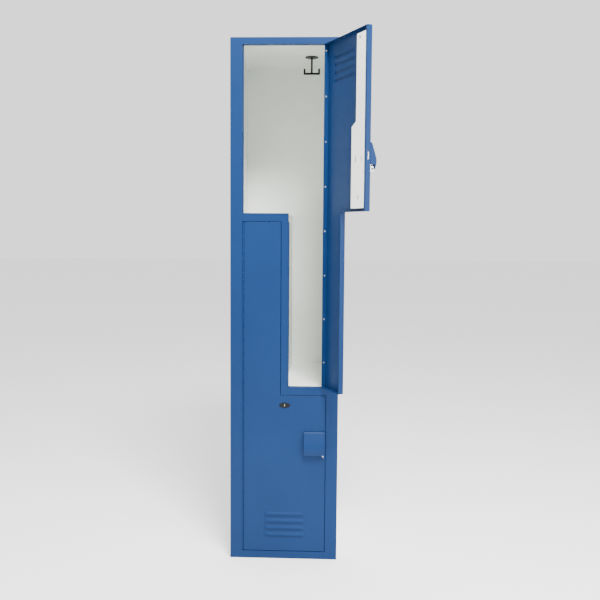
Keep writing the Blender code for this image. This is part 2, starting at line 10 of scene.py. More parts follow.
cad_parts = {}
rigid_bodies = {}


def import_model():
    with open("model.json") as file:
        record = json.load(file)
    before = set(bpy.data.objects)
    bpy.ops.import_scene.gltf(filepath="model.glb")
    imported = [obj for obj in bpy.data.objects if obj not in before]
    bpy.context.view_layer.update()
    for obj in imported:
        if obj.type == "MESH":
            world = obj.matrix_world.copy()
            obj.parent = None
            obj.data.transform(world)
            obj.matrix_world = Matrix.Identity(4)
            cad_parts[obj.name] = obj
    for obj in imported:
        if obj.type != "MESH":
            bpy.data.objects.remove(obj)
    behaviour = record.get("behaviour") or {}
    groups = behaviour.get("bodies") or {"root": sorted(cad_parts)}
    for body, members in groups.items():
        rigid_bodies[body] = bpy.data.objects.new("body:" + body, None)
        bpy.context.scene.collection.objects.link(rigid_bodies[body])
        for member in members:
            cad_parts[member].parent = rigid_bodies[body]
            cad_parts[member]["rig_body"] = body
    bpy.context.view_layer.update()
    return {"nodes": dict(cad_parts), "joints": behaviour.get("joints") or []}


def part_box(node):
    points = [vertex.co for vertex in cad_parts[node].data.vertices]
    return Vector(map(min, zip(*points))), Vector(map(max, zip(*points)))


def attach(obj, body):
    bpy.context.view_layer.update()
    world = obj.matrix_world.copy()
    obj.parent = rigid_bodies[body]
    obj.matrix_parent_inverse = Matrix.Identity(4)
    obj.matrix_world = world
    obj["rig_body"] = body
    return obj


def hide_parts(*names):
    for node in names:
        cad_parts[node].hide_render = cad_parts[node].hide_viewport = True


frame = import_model()
nodes = frame["nodes"]

# Camera -------------------------------------------------------------------------------
# It stands about 2.7 m in front of the doors, a little right of the middle and at chest
# height, and looks slightly down and to the left.
CAMERA_PLACE = Vector((0.1632, -3.0108, 1.1694))
CAMERA_YAW = -0.0398
CAMERA_PITCH = 0.086
CAMERA_ROLL = 0.0072
CAMERA_LENS = 47.37
CAMERA_SENSOR = 36.0

ahead = Vector((math.sin(CAMERA_YAW) * math.cos(CAMERA_PITCH),
                math.cos(CAMERA_YAW) * math.cos(CAMERA_PITCH), -math.sin(CAMERA_PITCH)))
level_right = Vector((math.cos(CAMERA_YAW), -math.sin(CAMERA_YAW), 0.0))
level_up = level_right.cross(ahead)
right = level_right * math.cos(CAMERA_ROLL) + level_up * math.sin(CAMERA_ROLL)
up = level_up * math.cos(CAMERA_ROLL) - level_right * math.sin(CAMERA_ROLL)
camera_data = bpy.data.cameras.new("camera")
camera_data.lens = CAMERA_LENS
camera_data.sensor_width = CAMERA_SENSOR
camera = bpy.data.objects.new("camera", camera_data)
camera.matrix_world = Matrix.Translation(CAMERA_PLACE) @ Matrix(
    ((right.x, up.x, -ahead.x), (right.y, up.y, -ahead.y), (right.z, up.z, -ahead.z))).to_4x4()
bpy.context.scene.collection.objects.link(camera)
bpy.context.scene.camera = camera

# Floor and light ----------------------------------------------------------------------
# A plain white studio: pale floor that runs out of sight, large soft lights from the front
# right and front left, and one from above.
FLOOR_REACH = 30.0
FLOOR_HEIGHT = -0.0005
FLOOR_COLOUR = (0.93, 0.93, 0.93, 1.0)
FLOOR_ROUGHNESS = 0.9
WORLD_STRENGTH = 1.6
# Each light: name, place, the point it faces, side in metres, watts.
LIGHTS = (("right_light", (2.3, -2.5, 1.5), (-0.1, -0.1, 0.9), 1.0, 75.0),
          ("left_light", (-2.6, -2.8, 2.4), (0.0, -0.2, 1.0), 2.0, 32.0),
          ("top_light", (0.6, -2.1, 3.6), (0.0, -0.1, 0.8), 0.9, 340.0))


def flat_mesh(name, corners):
    mesh = bpy.data.meshes.new(name)
    mesh.from_pydata(corners, [], [tuple(range(len(corners)))])
    thing = bpy.data.objects.new(name, mesh)
    bpy.context.scene.collection.objects.link(thing)
    return thing


floor = flat_mesh("floor", [(x * FLOOR_REACH, y * FLOOR_REACH, FLOOR_HEIGHT)
                            for x, y in ((-1, -1), (1, -1), (1, 1), (-1, 1))])
floor_paint = bpy.data.materials.new("floor_paint")
floor_paint.use_nodes = True
floor_shader = floor_paint.node_tree.nodes["Principled BSDF"]
floor_shader.inputs["Base Color"].default_value = FLOOR_COLOUR
floor_shader.inputs["Roughness"].default_value = FLOOR_ROUGHNESS
floor.data.materials.append(floor_paint)
world = bpy.data.worlds.new("studio")
world.use_nodes = True
sky = world.node_tree.nodes["Background"]
sky.inputs["Color"].default_value = (1.0, 1.0, 1.0, 1.0)
sky.inputs["Strength"].default_value = WORLD_STRENGTH
bpy.context.scene.world = world
for light_name, place, target, size, power in LIGHTS:
    lamp = bpy.data.lights.new(light_name, "AREA")
    lamp.size = size
    lamp.energy = power
    holder = bpy.data.objects.new(light_name, lamp)
    holder.location = place
    holder.rotation_euler = (Vector(target) - Vector(place)).to_track_quat("-Z", "Y").to_euler()
    bpy.context.scene.collection.objects.link(holder)

# Face frame ---------------------------------------------------------------------------
# Folded and welded 1.5 mm steel: two stiles with a strike strip each, top and bottom rails, two
# cross rails and a mullion, which step round the two doors. Enamelled blue after welding.
BLUE = (0.05, 0.162, 0.318)
BLUE_DARK = (0.045, 0.152, 0.302)
FOLD_RADIUS = 0.0005
FACE_SHEET = 0.0015
WELD_REACH = 0.0006
MULLION_HALF = 0.012
ROUNDED_FROM = math.radians(35)
SHARP_FROM = math.radians(50)
FLAT_WITHIN = math.radians(0.5)
DRIFT_SCALE = 5.0
GLOSS_SCALE = 38.0
GLOSS_SPREAD = 0.06
PEEL_STRENGTH = 0.5
TONE_BAND = (0.3, 0.7)


def linear(channel):
    """Screen value of one colour channel as the linear value that shaders use."""
    if channel <= 0.04045:
        return channel / 12.92
    return ((channel + 0.055) / 1.055) ** 2.4


def shade(colour):
    return [linear(channel) for channel in colour] + [1.0]


def baked_enamel(name, light, dark, roughness, peel_size, peel_depth, specular):
    """Sprayed and baked paint: a cloudy change of colour, uneven gloss and a fine orange peel."""
    material = bpy.data.materials.new(name)
    material.use_nodes = True
    tree = material.node_tree
    shader = tree.nodes["Principled BSDF"]
    place = tree.nodes.new("ShaderNodeTexCoord")

    def cloud(scale, detail):
        noise = tree.nodes.new("ShaderNodeTexNoise")
        noise.inputs["Scale"].default_value = scale
        noise.inputs["Detail"].default_value = detail
        tree.links.new(place.outputs["Object"], noise.inputs["Vector"])
        return noise

    drift = cloud(DRIFT_SCALE, 3.0)
    tone = tree.nodes.new("ShaderNodeValToRGB")
    tone.color_ramp.elements[0].position = TONE_BAND[0]
    tone.color_ramp.elements[1].position = TONE_BAND[1]
    tone.color_ramp.elements[0].color = shade(dark)
    tone.color_ramp.elements[1].color = shade(light)
    tree.links.new(drift.outputs["Fac"], tone.inputs["Fac"])
    tree.links.new(tone.outputs["Color"], shader.inputs["Base Color"])
    gloss = cloud(GLOSS_SCALE, 2.0)
    spread = tree.nodes.new("ShaderNodeMapRange")
    spread.inputs["To Min"].default_value = roughness - GLOSS_SPREAD
    spread.inputs["To Max"].default_value = roughness + GLOSS_SPREAD
    tree.links.new(gloss.outputs["Fac"], spread.inputs["Value"])
    tree.links.new(spread.outputs["Result"], shader.inputs["Roughness"])
    peel = cloud(1.0 / peel_size, 2.0)
    bump = tree.nodes.new("ShaderNodeBump")
    bump.inputs["Strength"].default_value = PEEL_STRENGTH
    bump.inputs["Distance"].default_value = peel_depth
    tree.links.new(peel.outputs["Fac"], bump.inputs["Height"])
    tree.links.new(bump.outputs["Normal"], shader.inputs["Normal"])
    shader.inputs["Specular IOR Level"].default_value = specular
    return material


def placed(name, data):
    """New object in the scene that holds a mesh or a curve."""
    thing = bpy.data.objects.new(name, data)
    bpy.context.scene.collection.objects.link(thing)
    return thing


def worked_out(thing):
    """Mesh of an object as its modifiers leave it."""
    return bpy.data.meshes.new_from_object(thing.evaluated_get(bpy.context.evaluated_depsgraph_get()))


def rounded(mesh, radius, steps):
    """Rounds every fold and sheared edge over."""
    holder = placed("rounding", mesh)
    bevel = holder.modifiers.new("edges", "BEVEL")
    bevel.width = radius
    bevel.segments = steps
    bevel.angle_limit = ROUNDED_FROM
    bevel.limit_method = "ANGLE"
    made = worked_out(holder)
    bpy.data.objects.remove(holder)
    return made


def folded(name, node, radius, material, steps=2):
    """Stands for a CAD node: the same piece with every fold and sheared edge rounded over."""
    source = nodes[node]
    finish_piece(name, merged(source.data), radius, material, source["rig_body"], [node], steps)


def finish_piece(name, mesh, radius, material, body, replaced, steps=2):
    """Rounds the edges, gives the piece its finish and hangs it on its body."""
    thing = placed(name, rounded(mesh, radius, steps) if radius else mesh)
    thing.data.materials.clear()
    thing.data.materials.append(material)
    thing.data.shade_smooth()
    thing.data.set_sharp_from_angle(angle=SHARP_FROM)
    level = thing.modifiers.new("normals", "WEIGHTED_NORMAL")
    level.keep_sharp = True
    thing.data = worked_out(thing)
    thing.modifiers.clear()
    thing.data.name = name
    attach(thing, body)
    if replaced:
        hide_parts(*replaced)


def carved(mesh, added, removed):
    """Worked steel: pieces welded or pressed on first, then openings cut."""
    holder = placed("work", mesh)
    for operation, tools in (("UNION", added), ("DIFFERENCE", removed)):
        for tool_mesh in tools:
            tool = placed("tool", tool_mesh)
            press = holder.modifiers.new("press", "BOOLEAN")
            press.operation = operation
            press.solver = "EXACT"
            press.object = tool
            holder.data = worked_out(holder)
            holder.modifiers.clear()
            bpy.data.objects.remove(tool)
    made = holder.data
    bpy.data.objects.remove(holder)
    return made


def merged(mesh):
    """Leaves one face where several lie in a plane, and one point where several meet."""
    work = bmesh.new()
    work.from_mesh(mesh)
    bmesh.ops.remove_doubles(work, verts=work.verts, dist=1e-6)
    bmesh.ops.dissolve_limit(work, angle_limit=FLAT_WITHIN, verts=work.verts, edges=work.edges)
    made = bpy.data.meshes.new(mesh.name)
    work.to_mesh(made)
    work.free()
    return made


def weld(low, high):
    """Bead ground flush: a small block of steel between two corners."""
    work = bmesh.new()
    bmesh.ops.create_cube(work, size=1.0, matrix=Matrix.Translation((low + high) / 2)
                          @ Matrix.Diagonal((*(high - low), 1.0)))
    mesh = bpy.data.meshes.new("weld")
    work.to_mesh(mesh)
    work.free()
    return mesh


blue_enamel = baked_enamel("blue_enamel", BLUE, BLUE_DARK, roughness=0.42,
                           peel_size=0.0016, peel_depth=0.00006, specular=0.13)
stile_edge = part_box("stile_right")[0].x
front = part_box("stile_right")[0].y
welds = []
for rail, ends in (("rail_top", (-1, 1)), ("rail_bottom", (-1, 1)), ("cross_rail_upper", (-1,)),
                   ("cross_rail_lower", (1,))):
    rail_low, rail_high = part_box(rail)
    for side in ends:
        joint = sorted((side * (stile_edge - WELD_REACH), side * (stile_edge + WELD_REACH)))
        welds.append(weld(Vector((joint[0], front, rail_low.z)),
                          Vector((joint[1], front + FACE_SHEET, rail_high.z))))
mullion_low, mullion_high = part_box("mullion")
for z in (mullion_low.z, mullion_high.z):
    welds.append(weld(Vector((-MULLION_HALF, front, z - WELD_REACH)),
                      Vector((MULLION_HALF, front + FACE_SHEET, z + WELD_REACH))))
face_nodes = ("stile_left", "stile_right", "rail_top", "rail_bottom", "cross_rail_upper",
              "cross_rail_lower", "mullion")
members = [merged(nodes[node].data) for node in face_nodes]
face = carved(members[0], members[1:] + welds, [])
finish_piece("face_frame_steel", merged(face), FOLD_RADIUS, blue_enamel, "cabinet",
             list(face_nodes))
for node in ("jamb_left", "jamb_right"):
    folded(node + "_steel", node, FOLD_RADIUS, blue_enamel)

# Body sheets --------------------------------------------------------------------------
# 0.8 mm sheets folded at their edges and riveted into a box: sides, back, top, bottom, two
# shelves and the partition between the shafts. Enamelled off-white inside and out.
OFF_WHITE = (0.915, 0.93, 0.905)
OFF_WHITE_DARK = (0.885, 0.90, 0.875)
SHEET_RADIUS = 0.00025

white_enamel = baked_enamel("white_enamel", OFF_WHITE, OFF_WHITE_DARK, roughness=0.46,
                            peel_size=0.0018, peel_depth=0.00005, specular=0.4)
for node in ("side_left", "side_right", "back_panel", "top_panel", "bottom_panel", "upper_shelf",
             "lower_shelf", "partition"):
    folded(node + "_sheet", node, SHEET_RADIUS, white_enamel)

# Anchor channel -----------------------------------------------------------------------
# Galvanised channel across the underside, which stiffens the bottom sheet and takes the anchor
# bolts. It is left in its zinc coat.
ZINC = (0.74, 0.75, 0.76)
ZINC_DARK = (0.62, 0.63, 0.65)
MARK_SCALE = 2500.0
MARK_STRETCH = 0.05
MARK_DEPTH = 0.00003
MARK_STRENGTH = 0.4
MARK_SPREAD = (0.08, 0.10)


def zinc_coat(name, light, dark, roughness, spangle):
    """Plated steel: a bright metal broken up into faint patches, with fine rolling marks."""
    material = bpy.data.materials.new(name)
    material.use_nodes = True
    tree = material.node_tree
    shader = tree.nodes["Principled BSDF"]
    shader.inputs["Metallic"].default_value = 1.0
    place = tree.nodes.new("ShaderNodeTexCoord")
    patches = tree.nodes.new("ShaderNodeTexVoronoi")
    patches.inputs["Scale"].default_value = 1.0 / spangle
    tree.links.new(place.outputs["Object"], patches.inputs["Vector"])
    tone = tree.nodes.new("ShaderNodeValToRGB")
    tone.color_ramp.elements[0].color = shade(dark)
    tone.color_ramp.elements[1].color = shade(light)
    tree.links.new(patches.outputs["Color"], tone.inputs["Fac"])
    tree.links.new(tone.outputs["Color"], shader.inputs["Base Color"])
    stretch = tree.nodes.new("ShaderNodeMapping")
    stretch.inputs["Scale"].default_value = (1.0, 1.0, MARK_STRETCH)
    tree.links.new(place.outputs["Object"], stretch.inputs["Vector"])
    marks = tree.nodes.new("ShaderNodeTexNoise")
    marks.inputs["Scale"].default_value = MARK_SCALE
    tree.links.new(stretch.outputs["Vector"], marks.inputs["Vector"])
    spread = tree.nodes.new("ShaderNodeMapRange")
    spread.inputs["To Min"].default_value = roughness - MARK_SPREAD[0]
    spread.inputs["To Max"].default_value = roughness + MARK_SPREAD[1]
    tree.links.new(marks.outputs["Fac"], spread.inputs["Value"])
    tree.links.new(spread.outputs["Result"], shader.inputs["Roughness"])
    bump = tree.nodes.new("ShaderNodeBump")
    bump.inputs["Strength"].default_value = MARK_STRENGTH
    bump.inputs["Distance"].default_value = MARK_DEPTH
    tree.links.new(marks.outputs["Fac"], bump.inputs["Height"])
    tree.links.new(bump.outputs["Normal"], shader.inputs["Normal"])
    return material


zinc = zinc_coat("zinc", ZINC, ZINC_DARK, roughness=0.34, spangle=0.004)
folded("base_channel_steel", "base_channel", FOLD_RADIUS, zinc)

# Doors --------------------------------------------------------------------------------
# L-shaped pans of 1.5 mm steel, folded in all round and turned back on themselves along the
# shutting edge. Four louvres are pressed through each near its outer end, and a slot lets the
# finger lift through.
LOUVRES = 4
LOUVRE_WIDTH = 0.142
LOUVRE_PITCH = 0.025
LOUVRE_HEIGHT = 0.012
LOUVRE_LIFT = 0.005
LOUVRE_END = 0.058
LOUVRE_MIDDLES = {"upper": 0.115, "lower": 0.148}
LOUVRE_STEPS = 24
LOUVRE_RISES = (0.15, 0.35, 0.55, 0.75, 0.9, 1.0)
LOUVRE_SQUARENESS = 14
LOUVRE_LEAST = 0.03
LOUVRE_PROUD = 0.0001
LOUVRE_BULGE = 1.3
LOUVRE_WALL = 0.0011
LOUVRE_BROW = 0.0016
LOUVRE_CHEEK = 0.0012
LOUVRE_DROP = 0.0012
DOOR_EDGE_RADIUS = 0.0016
OPENED = math.radians(117.5)
DOOR_DEPTH = 0.018
DOOR_SHEET = 0.0015
HINGE_EDGE = 0.003
FREE_EDGE = 0.2924
NECK_EDGE = 0.1319
HOOD_MIDDLE = 0.396
LIFT_SLOT = (0.2335, 0.2645)
LIFT_SLOT_BELOW = 0.0105
LIFT_SLOT_ABOVE = 0.0035
BLADE_DROP = 0.0235
BOLT_SLOT_HALF = (0.0025, 0.013)
BOLT_DEPTH = 0.0075
RETURN_LIP = 0.0084
RETURN_SHEET = 0.00095
RETURN_END = 0.001
DOOR_GAP = 0.0016

hinge_pins = {joint["child"]: Vector(joint["pos_m"]) for joint in frame["joints"]
              if joint["type"] == "hinge"}
top_rail_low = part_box("rail_top")[0].z
bottom_rail_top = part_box("rail_bottom")[1].z
upper_rail = [corner.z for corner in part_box("cross_rail_upper")]
lower_rail = [corner.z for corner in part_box("cross_rail_lower")]
doors = {"upper": {"side": 1, "run": -1, "end": top_rail_low - DOOR_GAP,
                   "shoulder": upper_rail[1] + DOOR_GAP, "tip": lower_rail[1] + DOOR_GAP,
                   "swing": OPENED},
         "lower": {"side": -1, "run": 1, "end": bottom_rail_top + DOOR_GAP,
                   "shoulder": lower_rail[0] - DOOR_GAP, "tip": upper_rail[0] - DOOR_GAP,
                   "swing": 0.0}}
for prefix, door in doors.items():
    door["pin"] = hinge_pins[prefix + "_door"]
    door["louvres"] = LOUVRE_MIDDLES[prefix]
    door["hood"] = door["end"] + door["run"] * HOOD_MIDDLE
    door["opened"] = (Matrix.Translation((door["pin"].x, front, 0.0))
                      @ Matrix.Rotation(door["swing"], 4, "Z")
                      @ Matrix.Translation((-door["pin"].x, -front, 0.0)))


def at(door, s, d, z):
    """Place of a point on a shut door: s from the pin towards the free edge, d inwards."""
    return Vector((door["pin"].x - door["side"] * s, front + d, z))


def skinned(name, rings):
    """Closed skin through rings of equal length, faces outwards."""
    work = bmesh.new()
    rows = [[work.verts.new(point) for point in ring] for ring in rings]
    count = len(rows[0])
    for row, after in zip(rows, rows[1:]):
        for index in range(count):
            following = (index + 1) % count
            work.faces.new((row[index], row[following], after[following], after[index]))
    work.faces.new(rows[0])
    work.faces.new(rows[-1])
    bmesh.ops.recalc_face_normals(work, faces=work.faces)
    mesh = bpy.data.meshes.new(name)
    work.to_mesh(mesh)
    work.free()
    return mesh


def boxed(door, low, high):
    """Block between two corners given as (s, d, z)."""
    rings = []
    for z in (low[2], high[2]):
        rings.append([at(door, s, d, z) for s, d in ((low[0], low[1]), (high[0], low[1]),
                                                     (high[0], high[1]), (low[0], high[1]))])
    return skinned("block", rings)


def pan_outline(door, margin):
    """Corners of the L as (s, z), moved in from its edges by a margin."""
    return [(HINGE_EDGE + margin, door["end"] + door["run"] * margin),
            (FREE_EDGE - margin, door["end"] + door["run"] * margin),
            (FREE_EDGE - margin, door["shoulder"] - door["run"] * margin),
            (NECK_EDGE - margin, door["shoulder"] - door["run"] * margin),
            (NECK_EDGE - margin, door["tip"] - door["run"] * margin),
            (HINGE_EDGE + margin, door["tip"] - door["run"] * margin)]


def pan_block(door, margin, low_d, high_d):
    """Solid L between two depths."""
    return skinned("pan", [[at(door, s, d, z) for s, z in pan_outline(door, margin)]
                           for d in (low_d, high_d)])


def louvre(door, mouth, lift, height, half, inner, drop):
    """Pressed hood whose lift fades out to both ends and which is open along its lower edge."""
    rings = []
    for step in range(LOUVRE_STEPS + 1):
        across = -math.cos(math.pi * step / LOUVRE_STEPS)
        swell = max(LOUVRE_LEAST, (1.0 - abs(across) ** LOUVRE_SQUARENESS) ** 0.5)
        profile = [(inner, mouth + height), (-LOUVRE_PROUD, mouth + height)]
        for rise in LOUVRE_RISES:
            bulge = math.sin(rise * math.pi / 2) ** LOUVRE_BULGE
            profile.append((-lift * swell * bulge, mouth + height * (1.0 - rise) - drop * (rise == 1.0)))
        profile.append((inner, mouth - drop))
        rings.append([at(door, door["louvres"] + across * half, d, z) for d, z in profile])
    return skinned("louvre", rings)


for prefix, door in doors.items():
    mouths = [door["end"] + door["run"] * (LOUVRE_END + index * LOUVRE_PITCH) for index in range(LOUVRES)]
    half = LOUVRE_WIDTH / 2
    pressed = [louvre(door, mouth, LOUVRE_LIFT, LOUVRE_HEIGHT, half, DOOR_SHEET / 2, 0.0)
               for mouth in mouths]
    openings = [louvre(door, mouth, LOUVRE_LIFT - LOUVRE_WALL, LOUVRE_HEIGHT - LOUVRE_BROW,
                       half - LOUVRE_CHEEK, 3 * DOOR_SHEET, LOUVRE_DROP) for mouth in mouths]
    blade = door["hood"] - BLADE_DROP
    slots = [boxed(door, (LIFT_SLOT[0], -DOOR_SHEET, blade - LIFT_SLOT_BELOW),
                   (LIFT_SLOT[1], 2 * DOOR_SHEET, blade + LIFT_SLOT_ABOVE)),
             boxed(door, (FREE_EDGE - 2 * DOOR_SHEET, BOLT_DEPTH - BOLT_SLOT_HALF[0],
                          door["hood"] - BOLT_SLOT_HALF[1]),
                   (FREE_EDGE + DOOR_SHEET, BOLT_DEPTH + BOLT_SLOT_HALF[0],
                    door["hood"] + BOLT_SLOT_HALF[1]))]
    pan = carved(rounded(pan_block(door, 0.0, 0.0, DOOR_DEPTH), DOOR_EDGE_RADIUS, 4), pressed,
                 [pan_block(door, DOOR_SHEET, DOOR_SHEET, 2 * DOOR_DEPTH)] + openings + slots)
    lip = boxed(door, (FREE_EDGE - RETURN_LIP, DOOR_DEPTH - RETURN_SHEET,
                       door["end"] + door["run"] * RETURN_END),
                (FREE_EDGE - DOOR_SHEET / 2, DOOR_DEPTH, door["shoulder"] - door["run"] * RETURN_END))
    pan = carved(pan, [lip], [])
    pan.transform(door["opened"])
    finish_piece(prefix + "_door_pan", pan, 0.0, blue_enamel, prefix + "_door",
                 [prefix + "_door"])

# Latch channels -----------------------------------------------------------------------
# Folded 1 mm covers on the inside of each door, widened where the latch works. They are
# spot-welded in, stiffen the shutting edge, and are enamelled off-white like the body.
COVER_EDGE = 0.0004

for prefix in doors:
    folded(prefix + "_latch_cover", prefix + "_latch_channel", COVER_EDGE, white_enamel)

# Hoods --------------------------------------------------------------------------------
# Drawn 1.5 mm steel shells welded over each latch. The front bulges out to the fingers and its
# lip curls in below; the shell is open underneath.
HOOD_HEIGHT = 0.083
HOOD_SPAN = (0.2165, 0.2905)
HOOD_WALL = 0.0015
HOOD_GAP = 0.0003
HOOD_LEAST = 0.0004
HOOD_ROUNDING = 0.0028
HOOD_STEPS = 4
HOOD_OUT = ((0.0, 0.0015), (0.003, 0.0062), (0.016, 0.0112), (0.034, 0.0176), (0.046, 0.0212),
            (0.055, 0.0229), (0.063, 0.0230), (0.070, 0.0215), (0.076, 0.0192), (0.083, 0.0176))
HOOD_SIDE_END = 0.068
HOOD_MOUTH_DEPTH = 0.0158
HOOD_MOUTH_END = 0.12
CUT_PAST = 0.01


def smooth_run(points, steps):
    """Finer points on a soft curve through the given ones."""
    made = []
    for index in range(len(points) - 1):
        before = points[max(0, index - 1)]
        here, there = points[index], points[index + 1]
        beyond = points[min(len(points) - 1, index + 2)]
        for step in range(steps):
            t = step / steps
            made.append(tuple(0.5 * (2 * b + (c - a) * t + (2 * a - 5 * b + 4 * c - d) * t * t
                                     + (3 * b - a - 3 * c + d) * t ** 3)
                              for a, b, c, d in zip(before, here, there, beyond)))
    return made + [points[-1]]


def hood_solid(door, low_s, high_s, inset, reach, foot):
    """Solid under the hood's outer or inner face; reach runs it on below, foot into the door."""
    top = door["hood"] + HOOD_HEIGHT / 2
    profile = [(-HOOD_GAP + foot, top - inset)]
    profile += [(-HOOD_GAP - max(HOOD_LEAST, out - inset), top - max(down, inset))
                for down, out in smooth_run(HOOD_OUT, HOOD_STEPS)]
    if reach:
        profile.append((profile[-1][0], profile[-1][1] - reach))
    profile.append((-HOOD_GAP + foot, profile[-1][1]))
    return skinned("hood", [[at(door, s, d, z) for d, z in profile] for s in (low_s, high_s)])


for prefix, door in doors.items():
    low_s, high_s = HOOD_SPAN
    top = door["hood"] + HOOD_HEIGHT / 2
    shell = rounded(hood_solid(door, low_s, high_s, 0.0, 0.0, 0.0), HOOD_ROUNDING, HOOD_STEPS)
    inside = hood_solid(door, low_s + HOOD_WALL, high_s - HOOD_WALL, HOOD_WALL, 2 * CUT_PAST, CUT_PAST)
    mouth = boxed(door, (low_s - CUT_PAST, -HOOD_MOUTH_DEPTH, top - HOOD_MOUTH_END),
                  (high_s + CUT_PAST, CUT_PAST, top - HOOD_SIDE_END))
    shell = carved(shell, [], [inside, mouth])
    shell.transform(door["opened"])
    finish_piece(prefix + "_hood_shell", shell, 0.0, blue_enamel, prefix + "_door",
                 [prefix + "_hood"])

# Latches ------------------------------------------------------------------------------
# Stamped 3 mm plates, zinc plated: the finger lift, the fixed padlock eye beside it, and the
# bolt that the lift throws into the jamb.
EYE_CORNER = 0.275
EYE_CORNER_CUT = 0.009
PLATE_EDGE = 0.0004


def sheared_eye(door, node):
    """Padlock eye with the lower inner corner of its foot cut off at a slant."""
    mesh = merged(nodes[node].data)
    shut = door["opened"].inverted()
    lowest = min(vertex.co.z for vertex in mesh.vertices)
    for vertex in mesh.vertices:
        s = (door["pin"].x - (shut @ vertex.co).x) * door["side"]
        if s < EYE_CORNER and vertex.co.z < lowest + PLATE_EDGE:
            vertex.co.z += EYE_CORNER_CUT
    return mesh


for prefix, door in doors.items():
    folded(prefix + "_finger_lift_plate", prefix + "_finger_lift", PLATE_EDGE, zinc)
    folded(prefix + "_bolt_plate", prefix + "_bolt", PLATE_EDGE, zinc)
    finish_piece(prefix + "_padlock_eye_plate", sheared_eye(door, prefix + "_padlock_eye"), PLATE_EDGE, zinc,
                 prefix + "_door", [prefix + "_padlock_eye"])

# Number plates ------------------------------------------------------------------------
# Oval stamped plates with a raised rim, coated black, each with a plain bright numeral and held
# by a small rivet at both ends.
PLATE_HALF = (0.0195, 0.0095)
PLATE_SHEET = 0.001
PLATE_DROP = 0.035
PLATE_GAP = 0.0003
PLATE_FIELD = 0.62
PLATE_SIDES = 64
NUMERAL_SIZE = 0.011
NUMERAL_DEPTH = 0.00012
NUMERAL_LIFT = 0.0001
STUD = (0.0012, 0.0006)
STUD_REACH = 0.0145
STUD_SEAT = 0.6
DOME_SIDES = 16
BLACK = (0.045, 0.05, 0.055)
BLACK_DARK = (0.03, 0.033, 0.037)
INK = (0.80, 0.81, 0.80)
INK_DARK = (0.74, 0.75, 0.74)

black_coat = baked_enamel("black_coat", BLACK, BLACK_DARK, roughness=0.42,
                          peel_size=0.0009, peel_depth=0.00003, specular=0.2)
numeral_ink = baked_enamel("numeral_ink", INK, INK_DARK, roughness=0.40,
                           peel_size=0.0009, peel_depth=0.00002, specular=0.5)


def turned(name, profile, sides):
    """Closed turned shape about +Z; profile runs from the axis out and back to it."""
    work = bmesh.new()
    turns = [2 * math.pi * k / sides for k in range(sides)]
    rows = [[work.verts.new((radius * math.cos(turn), radius * math.sin(turn), height)) for turn in turns]
            for radius, height in profile[1:-1]]
    foot = work.verts.new((0.0, 0.0, profile[0][1]))
    crown = work.verts.new((0.0, 0.0, profile[-1][1]))
    for k in range(sides):
        following = (k + 1) % sides
        work.faces.new((foot, rows[0][following], rows[0][k]))
        work.faces.new((crown, rows[-1][k], rows[-1][following]))
        for row, after in zip(rows, rows[1:]):
            work.faces.new((row[k], row[following], after[following], after[k]))
    bmesh.ops.recalc_face_normals(work, faces=work.faces)
    mesh = bpy.data.meshes.new(name)
    work.to_mesh(mesh)
    work.free()
    return mesh


def facing(point, normal, above):
    """Matrix that stands a +Z shape on a surface at point, with its own +Y towards above."""
    out = Vector(normal).normalized()
    across = Vector(above).cross(out).normalized()
    upward = out.cross(across)
    return Matrix.Translation(point) @ Matrix((across, upward, out)).transposed().to_4x4()


def row_tree():
    """Geometry Nodes: repeats a shape Count times, Step apart, and gives it its finish."""
    tree = bpy.data.node_groups.new("row_of_like_pieces", "GeometryNodeTree")
    tree.interface.new_socket("Geometry", in_out="INPUT", socket_type="NodeSocketGeometry")
    tree.interface.new_socket("Count", in_out="INPUT", socket_type="NodeSocketInt")
    tree.interface.new_socket("Step", in_out="INPUT", socket_type="NodeSocketVector")
    tree.interface.new_socket("Finish", in_out="INPUT", socket_type="NodeSocketMaterial")
    tree.interface.new_socket("Geometry", in_out="OUTPUT", socket_type="NodeSocketGeometry")
    given = tree.nodes.new("NodeGroupInput")
    line = tree.nodes.new("GeometryNodeMeshLine")
    copies = tree.nodes.new("GeometryNodeInstanceOnPoints")
    real = tree.nodes.new("GeometryNodeRealizeInstances")
    painted = tree.nodes.new("GeometryNodeSetMaterial")
    made = tree.nodes.new("NodeGroupOutput")
    tree.links.new(given.outputs["Count"], line.inputs["Count"])
    tree.links.new(given.outputs["Step"], line.inputs["Offset"])
    tree.links.new(line.outputs["Mesh"], copies.inputs["Points"])
    tree.links.new(given.outputs["Geometry"], copies.inputs["Instance"])
    tree.links.new(copies.outputs["Instances"], real.inputs["Geometry"])
    tree.links.new(real.outputs["Geometry"], painted.inputs["Geometry"])
    tree.links.new(given.outputs["Finish"], painted.inputs["Material"])
    tree.links.new(painted.outputs["Geometry"], made.inputs["Geometry"])
    return tree


like_pieces = row_tree()


def row_of(mesh, count, step, finish):
    """Mesh of count like pieces in a row."""
    holder = placed("row", mesh)
    modifier = holder.modifiers.new("row", "NODES")
    modifier.node_group = like_pieces
    values = {"Count": count, "Step": step, "Finish": finish}
    for item in like_pieces.interface.items_tree:
        if item.in_out == "INPUT" and item.name in values:
            modifier[item.identifier] = values[item.name]
    holder.update_tag()
    made = worked_out(holder)
    holder.modifiers.clear()
    bpy.data.objects.remove(holder)
    return made


def dome(radius, height):
    """Rivet head."""
    return turned("dome", [(0, 0), (radius * 0.97, 0), (radius, height * 0.18),
                           (radius * 0.86, height * 0.55), (radius * 0.5, height * 0.9), (0, height)],
                  DOME_SIDES)


